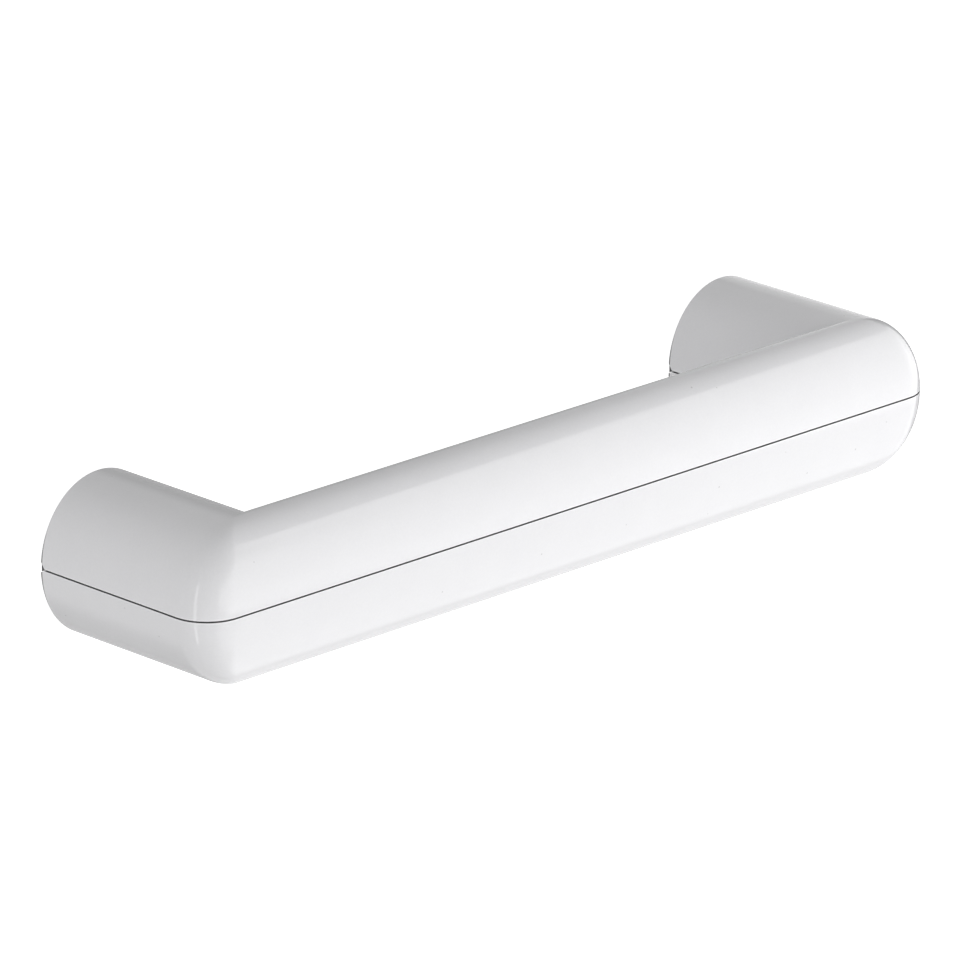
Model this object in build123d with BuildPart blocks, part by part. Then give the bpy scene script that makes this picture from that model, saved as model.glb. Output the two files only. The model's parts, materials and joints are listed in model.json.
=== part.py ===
"""Moulded towel rail: two half shells clipped together round a pair of wall plates.

Sizes are in millimetres. X runs along the bar, Y points into the wall and Z is up.
The origin lies on the wall, midway between the legs, at the height of the seam.
"""

import os
from itertools import pairwise
from math import sqrt

from build123d import *

# Outer form of the rail
rail_length = 300.0
projection = 69.0
rail_height = 49.2
bar_depth = 24.0
leg_width = 45.0
corner_radius = 12.0

# Shell walls, and the shadow line where the halves meet
wall = 3.0
seam_gap = 0.5
seam_depth = 1.0

# Tongue of the upper shell, and the clip beads along it
tongue_height = 4.0
tongue_width = 1.2
tongue_clearance = 0.15
bead_height = 1.0
bead_depth = 0.35
clip_length = 14.0
bar_clip_spacing = 120.0
leg_clip_setback = 28.0

# Pry notch where the seam runs out at the wall
notch_length = 1.4
upper_notch_height = 2.2
lower_notch_height = 0.9

# Inward lip at the wall end of each leg, and the keeper rib in front of the plate
lip_thickness = 2.5
lip_width = 4.0
keeper_thickness = 1.8

# Wall plates, held between the lip and the keeper rib
flange_thickness = 3.0
plate_clearance = 0.3
wall_hole_spacing = 20.0
wall_hole_radius = 2.5
countersink_radius = 4.8

# Values worked out from the sizes above
half_height = rail_height / 2
leg_centre = (rail_length - leg_width) / 2
bar_centre = -projection + bar_depth / 2
pocket_depth = flange_thickness + plate_clearance
keeper_front = -lip_thickness - pocket_depth - keeper_thickness

# Weights of a rational quarter arc and of a straight line
arc_weights = (1, sqrt(0.5), 1)
line_weights = (1, 1)


def opposite(point):
    """The same point at the other end of the rail."""
    return Vector(-point.X, point.Y, point.Z)


def skin_patch(rim, spine, rise, rim_weights):
    """Exact skin that climbs from a rim, along quarter ellipses, to the spine above it."""
    climb = ((1, 0), (1, 1), (0, 1))
    points = [
        [axis + (place - axis) * reach + Vector(0, 0, rise * lift) for reach, lift in climb]
        for place, axis in zip(rim, spine)
    ]
    weights = [[across * up for up in arc_weights] for across in rim_weights]
    return Face.make_bezier_surface(points, weights)


def half_form(inset, base, leg_stations):
    """Upper half of the U-shaped form, sewn from its skins.

    It is moved inwards by inset and stands at the height base. Its legs run in spans between
    the given stations, the first of which is the leg's end. A leg and the bar meet in a mitre
    inside the corner and in a dome outside it: there the rounded rim shrinks to the crest, so
    the dome runs on smoothly from both.
    """
    half_leg = leg_width / 2 - inset
    half_bar = bar_depth / 2 - inset
    rise = half_height - inset - base
    radius = corner_radius - inset
    crest = Vector(-leg_centre, bar_centre, base)
    outer_corner = crest + Vector(-half_leg, -half_bar)
    inner_corner = crest + Vector(half_leg, half_bar)
    leg_tangent = outer_corner + Vector(0, radius)
    bar_tangent = outer_corner + Vector(radius, 0)

    outer_rim = [Vector(outer_corner.X, y, base) for y in leg_stations] + [leg_tangent]
    inner_rim = [Vector(inner_corner.X, y, base) for y in leg_stations] + [inner_corner]
    leg_spine = [Vector(crest.X, y, base) for y in leg_stations] + [crest]
    leg_skins = [
        skin_patch(rim_span, spine_span, rise, line_weights)
        for rim in (outer_rim, inner_rim)
        for rim_span, spine_span in zip(pairwise(rim), pairwise(leg_spine))
    ]
    leg_edges = ShapeList(edge for skin in leg_skins for edge in skin.edges())
    end_line = Edge.make_line(outer_rim[0], inner_rim[0])
    end_cap = Face(Wire([*leg_edges.group_by(Axis.Y)[-1], end_line]))
    dome = skin_patch((leg_tangent, outer_corner, bar_tangent), (crest,) * 3, rise, arc_weights)
    left_faces = [*leg_skins, end_cap, dome]
    right_faces = [face.mirror(Plane.YZ) for face in left_faces]

    bar_spine = (crest, opposite(crest))
    bar_front = skin_patch((bar_tangent, opposite(bar_tangent)), bar_spine, rise, line_weights)
    bar_back = skin_patch((inner_corner, opposite(inner_corner)), bar_spine, rise, line_weights)
    faces = [*left_faces, *right_faces, bar_front, bar_back]
    floor = Face(Wire([face.edges().group_by(Axis.Z)[0][0] for face in faces]))
    return Solid(Shell([*faces, floor]))


def rail_plan(inset, leg_end):
    """U-shaped outline of the rail at the seam, moved inwards by inset."""
    side = rail_length / 2 - inset
    leg_inside = rail_length / 2 - leg_width + inset
    front = -projection + inset
    bar_back = -projection + bar_depth - inset
    with BuildSketch() as plan:
        with BuildLine():
            half_outline = Polyline(
                (0, front),
                (-side, front),
                (-side, leg_end),
                (-leg_inside, leg_end),
                (-leg_inside, bar_back),
                (0, bar_back),
            )
            mirror(half_outline, about=Plane.YZ)
        make_face()
        outer_corners = plan.vertices().group_by(Axis.Y)[0]
        fillet(outer_corners, corner_radius - inset)
    return plan.sketch


def rim_strip(outer_inset, inner_inset, leg_end):
    """Strip of the rim between two insets, along both sides of the bar and the legs."""
    with BuildSketch() as strip:
        add(rail_plan(outer_inset, leg_end))
        add(rail_plan(inner_inset, leg_end), mode=Mode.SUBTRACT)
    return strip.sketch


def clip_strips(outer_inset, inner_inset, length):
    """Short lengths of the rim between two insets, at the places of the clips."""
    with BuildSketch() as strips:
        add(rim_strip(outer_inset, inner_inset, keeper_front))
        with BuildSketch(mode=Mode.INTERSECT):
            with Locations((0, bar_centre)):
                with GridLocations(bar_clip_spacing, 0, 2, 1):
                    Rectangle(length, bar_depth)
            with Locations((0, -leg_clip_setback)):
                with GridLocations(2 * leg_centre, 0, 2, 1):
                    Rectangle(leg_width, length)
    return strips.sketch


def leg_ellipses(inset):
    """Leg section at both ends of the rail, moved inwards by inset."""
    with BuildSketch() as sections:
        with GridLocations(2 * leg_centre, 0, 2, 1):
            Ellipse(leg_width / 2 - inset, half_height - inset)
    return sections.sketch


outer_form = half_form(0, seam_gap / 2, (0, -lip_thickness))
inner_form = half_form(wall, 0, (keeper_front,))

# Half shell common to both mouldings, still in the upper place
with BuildPart() as half_shell:
    add(outer_form)
    with BuildSketch(Plane.XY):
        add(rail_plan(seam_depth, 0))
    extrude(amount=seam_gap / 2)
    add(inner_form, mode=Mode.SUBTRACT)
    with BuildSketch(Plane.XZ.offset(lip_thickness)):
        add(leg_ellipses(wall))
    extrude(amount=pocket_depth, mode=Mode.SUBTRACT)
    with BuildSketch(Plane.XZ):
        add(leg_ellipses(wall + lip_width))
    extrude(amount=-keeper_front, mode=Mode.SUBTRACT)

# Upper moulding: tongue, clip beads and notch
with BuildPart() as upper_shell:
    add(half_shell.part)
    with BuildSketch(Plane.XY):
        add(rim_strip(wall - tongue_width, wall, keeper_front - tongue_clearance))
    extrude(amount=-tongue_height)
    with BuildSketch(Plane.XY.offset(-tongue_height)):
        add(clip_strips(wall - tongue_width - bead_depth, wall - tongue_width, clip_length))
    extrude(amount=bead_height)
    with BuildSketch(Plane.YZ):
        with BuildLine():
            Polyline((0, 0), (-notch_length, 0), (0, upper_notch_height), close=True)
        make_face()
    extrude(amount=rail_length / 2, both=True, mode=Mode.SUBTRACT)

# Lower moulding: rebate for the tongue, pockets for the beads and notch
with BuildPart() as lower_shell:
    add(half_shell.part)
    mirror(about=Plane.XY, mode=Mode.REPLACE)
    with BuildSketch(Plane.XY):
        add(rail_plan(wall - tongue_width - tongue_clearance, keeper_front))
    extrude(amount=-tongue_height - tongue_clearance, mode=Mode.SUBTRACT)
    with BuildSketch(Plane.XY.offset(-tongue_height - tongue_clearance)):
        pocket_inset = wall - tongue_width - bead_depth - tongue_clearance
        add(clip_strips(pocket_inset, wall - tongue_width, clip_length + 2 * tongue_clearance))
    extrude(amount=bead_height + 2 * tongue_clearance, mode=Mode.SUBTRACT)
    with BuildSketch(Plane.YZ):
        with BuildLine():
            Polyline((0, 0), (-notch_length, 0), (0, -lower_notch_height), close=True)
        make_face()
    extrude(amount=rail_length / 2, both=True, mode=Mode.SUBTRACT)


def wall_plate(side):
    """Plate that is screwed to the wall and trapped in the leg on the given side."""
    pad_inset = wall + lip_width + plate_clearance
    flange_inset = wall + plate_clearance
    with BuildPart() as plate:
        with BuildSketch(Plane.XZ):
            with Locations((side * leg_centre, 0)):
                Ellipse(leg_width / 2 - pad_inset, half_height - pad_inset)
        extrude(amount=lip_thickness)
        with BuildSketch(Plane.XZ.offset(lip_thickness)):
            with Locations((side * leg_centre, 0)):
                Ellipse(leg_width / 2 - flange_inset, half_height - flange_inset)
        extrude(amount=flange_thickness)
        with Locations(Plane.XZ.offset(lip_thickness + flange_thickness)):
            with Locations((side * leg_centre, 0)):
                with GridLocations(0, wall_hole_spacing, 1, 2):
                    CounterSinkHole(wall_hole_radius, countersink_radius)
    return plate


wall_plate_left = wall_plate(-1)
wall_plate_right = wall_plate(1)

os.makedirs("parts", exist_ok=True)

upper_shell.part.label = "upper_shell"
export_step(upper_shell.part, "parts/upper_shell.step")

lower_shell.part.label = "lower_shell"
export_step(lower_shell.part, "parts/lower_shell.step")

wall_plate_left.part.label = "wall_plate_left"
export_step(wall_plate_left.part, "parts/wall_plate_left.step")

wall_plate_right.part.label = "wall_plate_right"
export_step(wall_plate_right.part, "parts/wall_plate_right.step")
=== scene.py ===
"""Looks of a white moulded towel rail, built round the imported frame. Sizes are in metres."""
import json
from dataclasses import dataclass, fields, replace
from math import cos, pi, radians, sin

import bmesh
import bpy
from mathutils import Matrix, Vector


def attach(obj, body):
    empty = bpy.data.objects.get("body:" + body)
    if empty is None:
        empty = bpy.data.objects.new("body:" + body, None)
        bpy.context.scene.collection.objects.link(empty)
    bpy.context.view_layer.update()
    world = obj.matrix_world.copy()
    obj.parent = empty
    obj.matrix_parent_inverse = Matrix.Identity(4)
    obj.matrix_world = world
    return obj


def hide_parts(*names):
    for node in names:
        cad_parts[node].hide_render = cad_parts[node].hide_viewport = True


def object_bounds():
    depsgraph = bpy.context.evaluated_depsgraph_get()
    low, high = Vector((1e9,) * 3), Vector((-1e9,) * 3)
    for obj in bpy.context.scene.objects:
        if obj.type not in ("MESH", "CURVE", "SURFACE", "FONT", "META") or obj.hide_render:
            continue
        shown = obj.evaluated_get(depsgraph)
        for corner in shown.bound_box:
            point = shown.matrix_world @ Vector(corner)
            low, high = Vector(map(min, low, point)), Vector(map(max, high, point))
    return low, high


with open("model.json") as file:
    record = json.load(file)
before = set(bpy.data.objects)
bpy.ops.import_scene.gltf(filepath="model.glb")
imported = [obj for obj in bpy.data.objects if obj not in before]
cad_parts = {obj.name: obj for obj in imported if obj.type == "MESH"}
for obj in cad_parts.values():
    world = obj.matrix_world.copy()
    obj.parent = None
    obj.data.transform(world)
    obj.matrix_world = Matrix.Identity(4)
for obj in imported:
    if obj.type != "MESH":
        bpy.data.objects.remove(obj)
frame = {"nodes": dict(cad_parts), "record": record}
cad_low, cad_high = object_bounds()

# Outer form of the rail, most of it read from the frame
mounts = {mount["name"]: mount for mount in frame["record"]["mounts"]}
rail_length = cad_high.x - cad_low.x
projection = cad_high.y - cad_low.y
half_height = (cad_high.z - cad_low.z) / 2
leg_centre = mounts["right_wall_pad"]["pos_m"][0]
leg_width = rail_length - 2 * leg_centre
bar_depth = 0.024
corner_radius = 0.012
bar_centre = -projection + bar_depth / 2

# Walls, seam and tongue
wall = 0.003
seam_gap = 0.0005
seam_depth = 0.001
tongue_height = 0.004
tongue_width = 0.0012
tongue_clearance = 0.00015

# Wall ends of the legs
notch_length = 0.0014
upper_notch_height = 0.0022
lower_notch_height = 0.0009
lip_thickness = 0.0025
lip_width = 0.004
lip_inset = wall + lip_width
pocket_depth = 0.0033
keeper_thickness = 0.0018
keeper_front = -lip_thickness - pocket_depth - keeper_thickness

# Dark keys that stand out from the wall plates and fill the notches
plate_clearance = 0.0003
plate_inset = lip_inset + plate_clearance
key_inset = 0.0002
key_clearance = 0.0001
key_slope_clearance = 0.0002
key_tip_height = seam_gap / 2
key_bevel = 0.00008

# Fineness of the swept meshes
section_steps = 96
corner_steps = 24
leg_steps = 14
bar_steps = 60
sharp_angle = radians(9)
weld_distance = 2e-6

# White plastic: its colour and gloss, and how far each pattern changes them
noise_mean = 0.5
white_colour = (0.8, 0.798, 0.813)
white_roughness = 0.08
mottle_tone = 0.035
mottle_bump = 0.6
grain_tone = 0.05
grain_roughness = 0.03
speck_size = 0.028
speck_darkening = 0.22

# Painted on the white plastic: painted shade in the seam, a painted highlight along its edges, and
# painted shade at the wall end
seam_tolerance = 4e-6
seam_painted_shade = 0.8
seam_roughness = 0.4
seam_highlight_width = 0.0005
seam_highlight_strength = 0.06
wall_shade_width = 0.0005
wall_shade_reach = 0.012
wall_shade_strength = 0.96
end_face_margin = 1e-5

# Dark plastic
dark_tone = 0.05
dark_blueness = 1.06
dark_grain_tone = 0.03
dark_roughness = 0.55
cloud_tone = 0.02
cloud_roughness = 0.15

# Camera: where it stood, found from the outline and the seam in the photograph
camera_azimuth = radians(-44.508)
camera_elevation = radians(19.18)
camera_distance = 2.7114
focal_pixels = 9247.3
picture_size = 960
centre_pixel = (501.20, 476.64)

# Studio: strengths of the background and the light that it gives from each side
background_strength = 1.0
room_strength = 0.02
left_strength = 0.63
behind_strength = 0.92
front_radiance = 1.66

# Floor
floor_reach = 12.0
floor_height = -2.7
floor_tone = 0.8
floor_fibre_tone = 0.01
floor_glow = 0.9


class Socket:
    """A node's output that takes part in Python expressions: each operator adds a node."""

    def __init__(self, graph, link):
        self.graph = graph
        self.link = link

    def operate(self, operation, first, second=0.0):
        sides = [side.link.type for side in (first, second) if isinstance(side, Socket)]
        kind = "ShaderNodeVectorMath" if "VECTOR" in sides else "ShaderNodeMath"
        return self.graph.node(kind, {"operation": operation}, {0: first, 1: second})

    def __add__(self, other):
        return self.operate("ADD", self, other)

    def __radd__(self, other):
        return self.operate("ADD", other, self)

    def __sub__(self, other):
        return self.operate("SUBTRACT", self, other)

    def __rsub__(self, other):
        return self.operate("SUBTRACT", other, self)

    def __mul__(self, other):
        return self.operate("MULTIPLY", self, other)

    def __rmul__(self, other):
        return self.operate("MULTIPLY", other, self)

    def __truediv__(self, other):
        return self.operate("DIVIDE", self, other)

    def __gt__(self, other):
        return self.operate("GREATER_THAN", self, other)

    def __lt__(self, other):
        return self.operate("LESS_THAN", self, other)

    def __abs__(self):
        return self.operate("ABSOLUTE", self)

    def at_least(self, other):
        return self.operate("MAXIMUM", self, other)

    def at_most(self, other):
        return self.operate("MINIMUM", self, other)

    def towards(self, other, share):
        return self + (other - self) * share


class Graph:
    """A node tree that is filled by one method."""

    def __init__(self, tree):
        self.tree = tree

    def node(self, kind, settings=None, sockets=None, output=0):
        """Add a node, set it up, feed its sockets and give back one of its outputs."""
        made = self.tree.nodes.new(kind)
        for name, value in (settings or {}).items():
            setattr(made, name, value)
        for name, value in (sockets or {}).items():
            socket = made.inputs[name]
            if isinstance(value, Socket):
                self.tree.links.new(value.link, socket)
            elif socket.type == "VECTOR" and isinstance(value, (int, float)):
                socket.default_value = (value, value, value)
            else:
                socket.default_value = value
        return Socket(self, made.outputs[output]) if made.outputs else None

    def given(self, name):
        """One of the tree's own inputs."""
        return self.node("NodeGroupInput", output=name)


def placed(name, data):
    """A new object in the scene, at the origin."""
    made = bpy.data.objects.new(name, data)
    bpy.context.scene.collection.objects.link(made)
    return made


def geometry_graph(name, kinds):
    """Graph of a new geometry tree with inputs of these kinds and one output."""
    tree = bpy.data.node_groups.new(name, "GeometryNodeTree")
    for label, kind in kinds.items():
        tree.interface.new_socket(label, in_out="INPUT", socket_type=f"NodeSocket{kind}")
    tree.interface.new_socket("Geometry", in_out="OUTPUT", socket_type="NodeSocketGeometry")
    return Graph(tree)


def points_of(graph, name):
    """Geometry of the object that a tree is given."""
    sockets = {"Object": graph.given(name)}
    return graph.node("GeometryNodeObjectInfo", None, sockets, "Geometry")


def end_tree(graph, shape):
    """Realize the shape, set the given material on it and put it out."""
    whole = graph.node("GeometryNodeRealizeInstances", None, {"Geometry": shape})
    sockets = {"Geometry": whole, "Material": graph.given("Material")}
    finished = graph.node("GeometryNodeSetMaterial", None, sockets)
    graph.node("NodeGroupOutput", None, {"Geometry": finished})
    return graph.tree


def made_by(tree, name, values):
    """Run a geometry tree on a new object and keep the result as its plain mesh."""
    piece = placed(name, bpy.data.meshes.new(name))
    modifier = piece.modifiers.new("shape", "NODES")
    modifier.node_group = tree
    identifiers = {item.name: item.identifier for item in tree.interface.items_tree}
    for label, value in values.items():
        modifier[identifiers[label]] = value
    bpy.context.view_layer.update()
    evaluated = piece.evaluated_get(bpy.context.evaluated_depsgraph_get())
    mesh = bpy.data.meshes.new_from_object(evaluated)
    piece.modifiers.clear()
    piece.data = mesh
    mesh.name = name
    return piece


def turn_outwards(piece):
    """Make every face of a closed mesh point outwards."""
    work = bmesh.new()
    work.from_mesh(piece.data)
    bmesh.ops.recalc_face_normals(work, faces=work.faces)
    work.to_mesh(piece.data)
    work.free()


@dataclass
class Station:
    """One cut across the rail: its rims and crest in plan, and how its hollow and seam run.

    The inward vectors say how a rim moves for each metre of inset.
    """

    outer: Vector
    crest: Vector
    inner: Vector
    outer_inward: Vector
    inner_inward: Vector
    hollow: float = wall
    pinch: float = 0.0
    seam: float = seam_gap / 2
    joint: float = 1.0
    notch: float = 0.0


@dataclass
class SectionPoint:
    """One point of the shell's closed section, the same all along the rail."""

    angle: float = 0.0
    far: float = 0.0
    inset: float = 0.0
    cavity: float = 0.0
    lift: float = 0.0
    step: float = 0.0
    shelf: float = 0.0


def vectors_of(station):
    """The station's vectors by name."""
    values = {field.name: getattr(station, field.name) for field in fields(Station)}
    return {name: value for name, value in values.items() if isinstance(value, Vector)}


def between(start, end, share):
    """A station part of the way from one station to the next."""
    ends = vectors_of(end)
    moved = {name: value.lerp(ends[name], share) for name, value in vectors_of(start).items()}
    return replace(start, **moved)


def opposite(station):
    """The same station at the other end of the rail."""
    mirror = Vector((-1, 1, 1))
    turned = {name: value * mirror for name, value in vectors_of(station).items()}
    return replace(station, **turned)


def leg_cut(y, **changes):
    """Station square across the left leg."""
    cut = Station(
        outer=Vector((-leg_centre - leg_width / 2, y, 0)),
        crest=Vector((-leg_centre, y, 0)),
        inner=Vector((-leg_centre + leg_width / 2, y, 0)),
        outer_inward=Vector((1, 0, 0)),
        inner_inward=Vector((-1, 0, 0)),
    )
    return replace(cut, **changes)


def corner_cut(turn):
    """Station in the left corner: the outer rim goes round its arc, the rest stays at the mitre."""
    crest = Vector((-leg_centre, bar_centre, 0))
    outer_corner = crest + Vector((-leg_width / 2, -bar_depth / 2, 0))
    arc_centre = outer_corner + Vector((corner_radius, corner_radius, 0))
    inward = Vector((cos(turn), sin(turn), 0))
    return Station(
        outer=arc_centre - inward * corner_radius,
        crest=crest,
        inner=crest + Vector((leg_width / 2, bar_depth / 2, 0)),
        outer_inward=inward,
        inner_inward=Vector((-1, -1, 0)),
    )


def rail_stations(joint_start):
    """Stations from the left wall end round to the right one; the joint starts at joint_start."""
    pocket_end = -lip_thickness - pocket_depth
    wall_end = [
        leg_cut(0, hollow=lip_inset, pinch=lip_inset, seam=0.0, joint=0.0, notch=1.0),
        leg_cut(0, hollow=lip_inset, joint=0.0, notch=1.0),
        leg_cut(-notch_length, hollow=lip_inset, joint=0.0),
        leg_cut(-lip_thickness, hollow=lip_inset, joint=0.0),
        leg_cut(-lip_thickness, joint=0.0),
        leg_cut(pocket_end, joint=0.0),
        leg_cut(pocket_end, hollow=lip_inset, joint=0.0),
        leg_cut(keeper_front, hollow=lip_inset, joint=0.0),
        leg_cut(keeper_front, joint=0.0),
        leg_cut(joint_start, joint=0.0),
    ]
    leg_start = leg_cut(joint_start)
    mitre = corner_cut(0)
    leg = [between(leg_start, mitre, step / leg_steps) for step in range(leg_steps)]
    corner = [corner_cut(pi / 2 * step / corner_steps) for step in range(corner_steps + 1)]
    left = wall_end + leg + corner
    right = [opposite(station) for station in reversed(left)]
    bar = [between(left[-1], right[0], step / bar_steps) for step in range(1, bar_steps)]
    return left + bar + right


def rim_steps(*places):
    """Points of the rim between skin and cavity: inset, lift by the seam, step by the joint."""
    return [SectionPoint(inset=inset, lift=lift, step=step) for inset, lift, step in places]


def shell_section(steps, shelf):
    """Closed section of a half shell: skin, rim steps, cavity and rim steps again."""
    angles = [pi * step / section_steps for step in range(section_steps + 1)]
    skin = [SectionPoint(angle=a, far=float(a > pi / 2), lift=1.0) for a in angles]
    cavity = [replace(point, cavity=1.0, lift=0.0, shelf=shelf) for point in reversed(skin)]
    far_rim = [replace(point, far=1.0) for point in steps]
    return skin + far_rim + cavity + steps[::-1] + skin[:1]


def carrier(name, rows):
    """Loose vertices that carry the rows' fields as attributes into a geometry tree."""
    mesh = bpy.data.meshes.new(name)
    mesh.vertices.add(len(rows))
    for field in fields(rows[0]):
        values = [getattr(row, field.name) for row in rows]
        if isinstance(values[0], Vector):
            attribute = mesh.attributes.new(field.name, "FLOAT_VECTOR", "POINT")
            attribute.data.foreach_set("vector", [number for value in values for number in value])
        else:
            attribute = mesh.attributes.new(field.name, "FLOAT", "POINT")
            attribute.data.foreach_set("value", values)
    return placed(name, mesh)


def half_shell_tree():
    """Sweep the section along the stations: a quarter ellipse climbs from each rim to the crest."""
    graph = geometry_graph("half_shell", {
        "Stations": "Object",
        "Section": "Object",
        "Crest Height": "Float",
        "Joint Height": "Float",
        "Notch Height": "Float",
        "Side": "Float",
        "Sharp Angle": "Float",
        "Weld Distance": "Float",
        "Material": "Material",
    })

    def count_of(geometry):
        return graph.node("GeometryNodeAttributeDomainSize", None, {0: geometry}, "Point Count")

    def worked_out(operation, value):
        return graph.node("ShaderNodeMath", {"operation": operation}, {0: value})

    stations = points_of(graph, "Stations")
    section = points_of(graph, "Section")
    section_count = count_of(section)
    grid_sizes = {"Vertices X": count_of(stations), "Vertices Y": section_count}
    grid = graph.node("GeometryNodeMeshGrid", None, grid_sizes, "Mesh")
    index = graph.node("GeometryNodeInputIndex")
    along = worked_out("FLOOR", (index + 0.5) / section_count)
    across = index - along * section_count

    def carried(geometry, place, name, data_type="FLOAT"):
        settings = {"data_type": data_type}
        field = graph.node("GeometryNodeInputNamedAttribute", settings, {"Name": name})
        sockets = {"Geometry": geometry, "Value": field, "Index": place}
        return graph.node("GeometryNodeSampleIndex", settings, sockets)

    def station(name):
        return carried(stations, along, name)

    def station_vector(name):
        return carried(stations, along, name, "FLOAT_VECTOR")

    def point(name):
        return carried(section, across, name)

    joint_height = graph.given("Joint Height")
    hollow = station("hollow")
    inset = point("inset").towards(hollow, point("cavity")).at_least(station("pinch"))
    base = point("lift") * station("seam") + point("step") * (station("joint") * joint_height)
    rise = graph.given("Crest Height") - inset - base
    far_below = -1.0
    notch = far_below + station("notch") * (graph.given("Notch Height") - far_below)
    shelf = far_below + point("shelf") * station("joint") * (joint_height - far_below)
    climb = worked_out("SINE", point("angle"))
    climb = climb.at_least((notch.at_least(shelf) - base) / rise)
    reach = worked_out("SQRT", (1 - climb * climb).at_least(0))

    crest = station_vector("crest")
    outer_rim = station_vector("outer") + station_vector("outer_inward") * inset
    inner_rim = station_vector("inner") + station_vector("inner_inward") * inset
    plan = crest + (outer_rim.towards(inner_rim, point("far")) - crest) * reach
    height = graph.given("Side") * (base + rise * climb)
    place = plan + graph.node("ShaderNodeCombineXYZ", None, {"Z": height})

    swept = graph.node("GeometryNodeSetPosition", None, {"Geometry": grid, "Position": place})
    weld = {"Geometry": swept, "Distance": graph.given("Weld Distance")}
    welded = graph.node("GeometryNodeMergeByDistance", None, weld)
    smooth = graph.node("GeometryNodeSetShadeSmooth", {"domain": "FACE"}, {0: welded})
    bend = graph.node("GeometryNodeInputMeshEdgeAngle", None, None, "Unsigned Angle")
    edges = {0: smooth, "Selection": bend > graph.given("Sharp Angle"), "Shade Smooth": False}
    creased = graph.node("GeometryNodeSetShadeSmooth", {"domain": "EDGE"}, edges)
    return end_tree(graph, creased)


def half_shell(name, tree, material, joint_start, steps, shelf, sizes):
    """One moulded half of the housing, which stands for the node of the same name."""
    stations = carrier(f"{name}_stations", rail_stations(joint_start))
    section = carrier(f"{name}_section", shell_section(steps, shelf))
    piece = made_by(tree, name + "_skin", {
        "Stations": stations,
        "Section": section,
        "Crest Height": half_height,
        "Sharp Angle": sharp_angle,
        "Weld Distance": weld_distance,
        "Material": material,
        **sizes,
    })
    turn_outwards(piece)
    for helper in (stations, section):
        bpy.data.objects.remove(helper)
    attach(piece, "root")
    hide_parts(name)


def key_pattern():
    """One key, a wedge along X with the notch's outline."""
    half_length = (plate_inset - key_inset) / 2
    front = key_clearance - notch_length
    back = -key_clearance
    outline = [
        (front, -key_tip_height / 2),
        (back, key_slope_clearance - lower_notch_height),
        (back, upper_notch_height - key_slope_clearance),
        (front, key_tip_height / 2),
    ]
    work = bmesh.new()
    left = [work.verts.new((-half_length, y, z)) for y, z in outline]
    right = [work.verts.new((half_length, y, z)) for y, z in outline]
    work.faces.new(left)
    work.faces.new(right)
    for corner in range(len(outline)):
        work.faces.new((left[corner - 1], left[corner], right[corner], right[corner - 1]))
    bmesh.ops.recalc_face_normals(work, faces=work.faces)
    bevel = {"offset": key_bevel, "segments": 2, "profile": 0.5, "affect": "EDGES"}
    bmesh.ops.bevel(work, geom=work.edges[:], **bevel)
    mesh = bpy.data.meshes.new("key_pattern")
    work.to_mesh(mesh)
    work.free()
    return placed("key_pattern", mesh)


def notch_keys_tree():
    """Repeat a key at both sides of each leg."""
    graph = geometry_graph("notch_keys", {
        "Key": "Object",
        "Side Spacing": "Float",
        "Leg Spacing": "Float",
        "Material": "Material",
    })
    shape = points_of(graph, "Key")
    for spacing in ("Side Spacing", "Leg Spacing"):
        step = graph.node("ShaderNodeCombineXYZ", None, {"X": graph.given(spacing)})
        places = {"Count": 2, "Start Location": step * -0.5, "Offset": step}
        pair = graph.node("GeometryNodeMeshLine", None, places)
        repeat = {"Points": pair, "Instance": shape}
        shape = graph.node("GeometryNodeInstanceOnPoints", None, repeat)
    return end_tree(graph, shape)


def notch_keys(material):
    """Keys that stand out from the wall plates into the notches at the seam's ends."""
    pattern = key_pattern()
    piece = made_by(notch_keys_tree(), "notch_keys", {
        "Key": pattern,
        "Side Spacing": leg_width - plate_inset - key_inset,
        "Leg Spacing": 2 * leg_centre,
        "Material": material,
    })
    bpy.data.objects.remove(pattern)
    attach(piece, "root")


def surface_material(name):
    """A new material: its graph, and the object coordinates that its patterns read."""
    material = bpy.data.materials.new(name)
    material.use_nodes = True
    material.node_tree.nodes.clear()
    graph = Graph(material.node_tree)
    return material, graph, graph.node("ShaderNodeTexCoord", output="Object")


def noise(graph, place, scale, detail):
    """Noise from nought to one."""
    sockets = {"Vector": place, "Scale": scale, "Detail": detail}
    return graph.node("ShaderNodeTexNoise", None, sockets)


def grey(graph, shade):
    """A colour without hue."""
    return graph.node("ShaderNodeCombineXYZ", None, {"X": shade, "Y": shade, "Z": shade})


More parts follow.
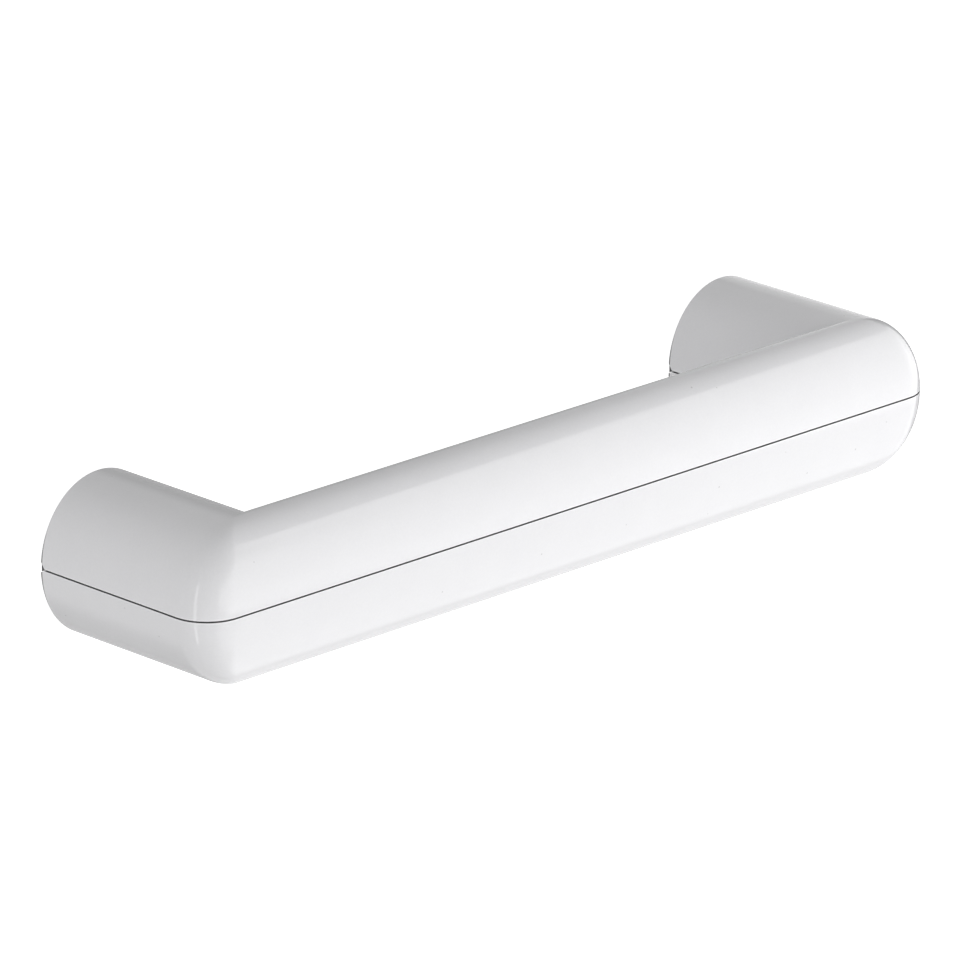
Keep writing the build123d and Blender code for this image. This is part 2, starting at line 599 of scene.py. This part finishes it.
def shell_plastic():
    """White moulded plastic, grained and specked, with painted shade in the seam and beside the
    notches.
    """
    material, graph, place = surface_material("white_plastic")
    mottle = noise(graph, place, scale=90.0, detail=4.0)
    grain = noise(graph, place, scale=1400.0, detail=2.0)
    speck_cells = {"Vector": place, "Scale": 95.0}
    speck = graph.node("ShaderNodeTexVoronoi", None, speck_cells, "Distance") < speck_size
    shade = 1 + (mottle - noise_mean) * mottle_tone + (grain - noise_mean) * grain_tone
    shade = shade - speck * speck_darkening
    into, height = (graph.node("ShaderNodeSeparateXYZ", None, {0: place}, axis) for axis in "YZ")
    # Painted shade: the seam's groove is darkened in the colour.
    seam = abs(height) < seam_gap / 2 + seam_tolerance
    # Painted highlight: a thin lighter band along both edges of the seam.
    edge = (abs(height) < seam_gap / 2 + seam_highlight_width) - seam
    # Painted shade: a dark line on the last half millimetre of each leg before the wall, fading away
    # from the seam.
    beside_wall = (into > -wall_shade_width) * (into < -end_face_margin)
    painted_wall_shade = beside_wall * (1 - abs(height) / wall_shade_reach).at_least(0)
    painted_shading = 1 - seam * seam_painted_shade + edge * seam_highlight_strength - painted_wall_shade * wall_shade_strength
    tint = graph.node("ShaderNodeCombineXYZ", None, dict(zip("XYZ", white_colour)))
    relief = {"Height": grain + mottle * mottle_bump, "Strength": 0.25, "Distance": 2e-5}
    roughness = white_roughness + (grain - noise_mean) * grain_roughness + seam * seam_roughness
    shader = graph.node("ShaderNodeBsdfPrincipled", None, {
        "Base Color": grey(graph, shade * painted_shading) * tint,
        "Roughness": roughness,
        "IOR": 1.5,
        "Normal": graph.node("ShaderNodeBump", None, relief),
    })
    graph.node("ShaderNodeOutputMaterial", None, {"Surface": shader})
    return material


def plate_plastic():
    """Dark moulded plastic with a spark-eroded grain."""
    material, graph, place = surface_material("dark_plastic")
    grain = noise(graph, place, scale=1600.0, detail=3.0)
    cloud = noise(graph, place, scale=120.0, detail=3.0)
    shade = dark_tone + (cloud - noise_mean) * cloud_tone + (grain - noise_mean) * dark_grain_tone
    channels = {"X": shade, "Y": shade, "Z": shade * dark_blueness}
    relief = {"Height": grain, "Strength": 0.35, "Distance": 4e-5}
    shader = graph.node("ShaderNodeBsdfPrincipled", None, {
        "Base Color": graph.node("ShaderNodeCombineXYZ", None, channels),
        "Roughness": dark_roughness + (cloud - noise_mean) * cloud_roughness,
        "Normal": graph.node("ShaderNodeBump", None, relief),
    })
    graph.node("ShaderNodeOutputMaterial", None, {"Surface": shader})
    return material


def build_rail():
    """Both half shells, the keys in their notches and the finish of the wall plates."""
    plastic = shell_plastic()
    tree = half_shell_tree()
    landing = ((seam_depth, 1.0, 0.0), (seam_depth, 0.0, 0.0))
    tongue_face = wall - tongue_width
    tongue = ((tongue_face, 0.0, 0.0), (tongue_face, 0.0, 1.0), (wall, 0.0, 1.0))
    rebate_face = tongue_face - tongue_clearance
    rebate = ((rebate_face, 0.0, 0.0), (rebate_face, 0.0, 1.0))
    half_shell(
        "upper_shell", tree, plastic,
        joint_start=keeper_front - tongue_clearance,
        steps=rim_steps(*landing, *tongue),
        shelf=0.0,
        sizes={
            "Joint Height": -tongue_height,
            "Notch Height": upper_notch_height,
            "Side": 1.0,
        },
    )
    half_shell(
        "lower_shell", tree, plastic,
        joint_start=keeper_front,
        steps=rim_steps(*landing, *rebate),
        shelf=1.0,
        sizes={
            "Joint Height": tongue_height + tongue_clearance,
            "Notch Height": lower_notch_height,
            "Side": -1.0,
        },
    )
    dark = plate_plastic()
    notch_keys(dark)
    for name in ("wall_plate_left", "wall_plate_right"):
        plate = frame["nodes"][name]
        plate.data.materials.clear()
        plate.data.materials.append(dark)


def make_camera():
    """Camera at the photograph's viewing angle, turned so that the rail lies where it does there."""
    back = Vector((
        sin(camera_azimuth) * cos(camera_elevation),
        -cos(camera_azimuth) * cos(camera_elevation),
        sin(camera_elevation),
    ))
    right = Vector((cos(camera_azimuth), sin(camera_azimuth), 0))
    up = back.cross(right)
    centre = (cad_low + cad_high) / 2
    pixel = camera_distance / focal_pixels
    offset_right = (centre_pixel[0] - picture_size / 2) * pixel
    offset_down = (centre_pixel[1] - picture_size / 2) * pixel
    eye = centre + back * camera_distance
    aim = centre - right * offset_right + up * offset_down
    data = bpy.data.cameras.new("camera")
    data.sensor_width = 36.0
    data.lens = focal_pixels / picture_size * data.sensor_width
    data.clip_start = 0.1
    data.clip_end = 50.0
    camera = placed("camera", data)
    camera.location = eye
    camera.rotation_mode = "QUATERNION"
    camera.rotation_quaternion = (aim - eye).to_track_quat("-Z", "Y")
    bpy.context.scene.camera = camera


def upright(azimuth):
    """Directions out from the rail and sideways, for what stands square to an azimuth in degrees."""
    turn = radians(azimuth)
    return Vector((sin(turn), -cos(turn), 0)), Vector((cos(turn), sin(turn), 0))


def quad(name, corners, material):
    """One flat face."""
    mesh = bpy.data.meshes.new(name)
    mesh.from_pydata(corners, [], [(0, 1, 2, 3)])
    mesh.materials.append(material)
    return placed(name, mesh)


def panel(name, azimuth, distance, sides, heights, radiance, mirrored=True):
    """Upright glowing panel square to an azimuth, between two offsets sideways and two heights."""
    outward, sideways = upright(azimuth)
    data = bpy.data.lights.new(name, "AREA")
    data.shape = "RECTANGLE"
    data.size = sides[1] - sides[0]
    data.size_y = heights[1] - heights[0]
    data.energy = radiance * pi * data.size * data.size_y
    lamp = placed(name, data)
    middle = sideways * sum(sides) / 2 + Vector((0, 0, sum(heights) / 2))
    lamp.location = outward * distance + middle
    lamp.rotation_mode = "QUATERNION"
    lamp.rotation_quaternion = outward.to_track_quat("Z", "Y")
    lamp.visible_camera = False
    lamp.visible_glossy = mirrored


def card(name, azimuth, distance, sides, heights, tone, margins, around=background_strength):
    """Upright card that only the gloss shows.

    Its tone fades to that of what lies around it, within margins at the left, right, lower and
    upper edge.
    """
    outward, sideways = upright(azimuth)
    low_edge, high_edge = (outward * distance + Vector((0, 0, height)) for height in heights)
    low_corners = [low_edge + sideways * side for side in sides]
    high_corners = [high_edge + sideways * side for side in reversed(sides)]
    material, graph, place = surface_material(name)
    across = {0: place, 1: sideways}
    side = graph.node("ShaderNodeVectorMath", {"operation": "DOT_PRODUCT"}, across, "Value")
    height = graph.node("ShaderNodeSeparateXYZ", None, {0: place}, "Z")
    shade = tone - around
    depths = (side - sides[0], sides[1] - side, height - heights[0], heights[1] - height)
    for depth, margin in zip(depths, margins):
        shade = shade * (depth / margin).at_most(1)
    glow = graph.node("ShaderNodeEmission", None, {"Color": grey(graph, shade + around)})
    graph.node("ShaderNodeOutputMaterial", None, {"Surface": glow})
    stand = quad(name, low_corners + high_corners, material)
    stand.visible_camera = False
    stand.visible_diffuse = False
    stand.visible_shadow = False


def seen_directly(graph):
    """One for rays that show the background itself: from the camera, a gloss or a clear surface."""
    camera = graph.node("ShaderNodeLightPath", output="Is Camera Ray")
    glossy = graph.node("ShaderNodeLightPath", output="Is Glossy Ray")
    clear = graph.node("ShaderNodeLightPath", output="Is Transmission Ray")
    return camera.at_least(glossy).at_least(clear)


def make_world():
    """Studio that is light behind and on the left, white where the background shows."""
    world = bpy.data.worlds.new("studio")
    bpy.context.scene.world = world
    world.use_nodes = True
    world.node_tree.nodes.clear()
    graph = Graph(world.node_tree)
    way = graph.node("ShaderNodeTexCoord", output="Generated")
    along, into = (graph.node("ShaderNodeSeparateXYZ", None, {0: way}, axis) for axis in "XY")
    from_left = (0 - along).at_least(0)
    from_behind = into.at_least(0)
    strength = room_strength + left_strength * from_left + behind_strength * from_behind
    white = (1, 1, 1, 1)
    light, background = (
        graph.node("ShaderNodeBackground", None, {"Color": white, "Strength": level})
        for level in (strength, background_strength)
    )
    sockets = {0: seen_directly(graph), 1: light, 2: background}
    mixed = graph.node("ShaderNodeMixShader", None, sockets)
    graph.node("ShaderNodeOutputWorld", None, {"Surface": mixed})


def make_floor():
    """Wide pale floor well below the rail, white to the camera and still taking its shadow."""
    material, graph, place = surface_material("floor_paper")
    fibre = noise(graph, place, scale=40.0, detail=3.0)
    shade = floor_tone + (fibre - noise_mean) * floor_fibre_tone
    paper = graph.node("ShaderNodeBsdfDiffuse", None, {"Color": grey(graph, shade)})
    glow = graph.node("ShaderNodeEmission", None, {"Strength": floor_glow})
    lit = graph.node("ShaderNodeAddShader", None, {0: paper, 1: glow})
    sockets = {0: seen_directly(graph), 1: paper, 2: lit}
    surface = graph.node("ShaderNodeMixShader", None, sockets)
    graph.node("ShaderNodeOutputMaterial", None, {"Surface": surface})
    places = ((-1, -1), (1, -1), (1, 1), (-1, 1))
    corners = [(x * floor_reach, y * floor_reach, floor_height) for x, y in places]
    floor = quad("floor", corners, material)


def make_cards():
    """Grey cards behind the rail that draw its outline, and one that rounds the front panel."""
    card(
        "crest_card", azimuth=140, distance=1.6, sides=(-0.24, 0.9), heights=(-0.9, 1.05),
        tone=0.45, margins=(0.1, 0.1, 0.5, 0.5),
    )
    card(
        "right_card", azimuth=102, distance=1.6, sides=(-0.65, 0.65), heights=(-0.9, 0.9),
        tone=0.1, margins=(0.1, 0.1, 0.1, 0.1),
    )
    card(
        "left_card", azimuth=180, distance=1.6, sides=(-1.5, 0.9), heights=(-2.2, -0.5),
        tone=0.65, margins=(0.4, 0.4, 0.4, 0.4),
    )
    card(
        "corner_card", azimuth=45, distance=0.79, sides=(-1.75, -0.12), heights=(0.18, 0.5),
        tone=background_strength, margins=(0.01, 0.12, 0.14, 0.01),
        around=background_strength + front_radiance,
    )


def make_lamps():
    """Panels in front, the brightest above the seam, and at the left a fill and a narrow strip."""
    panel(
        "front_panel", azimuth=45, distance=0.8, sides=(-1.65, 1.2), heights=(-0.26, 0.48),
        radiance=front_radiance,
    )
    panel(
        "lower_panel", azimuth=45, distance=0.8, sides=(-0.2, 0.59), heights=(-1.7, -0.26),
        radiance=0.76,
    )
    panel(
        "table_panel", azimuth=-5, distance=1.0, sides=(-0.27, 0.7), heights=(-1.0, -0.22),
        radiance=0.78,
    )
    panel(
        "left_panel", azimuth=-35, distance=1.2, sides=(-0.6, 0.8), heights=(-0.6, 0.5),
        radiance=0.72, mirrored=False,
    )
    panel(
        "left_strip", azimuth=-76, distance=1.2, sides=(-0.07, 0.07), heights=(-1.1, 0.45),
        radiance=2.4,
    )


build_rail()
make_camera()
make_world()
make_floor()
make_cards()
make_lamps()
bpy.context.scene.view_settings.view_transform = "Standard"
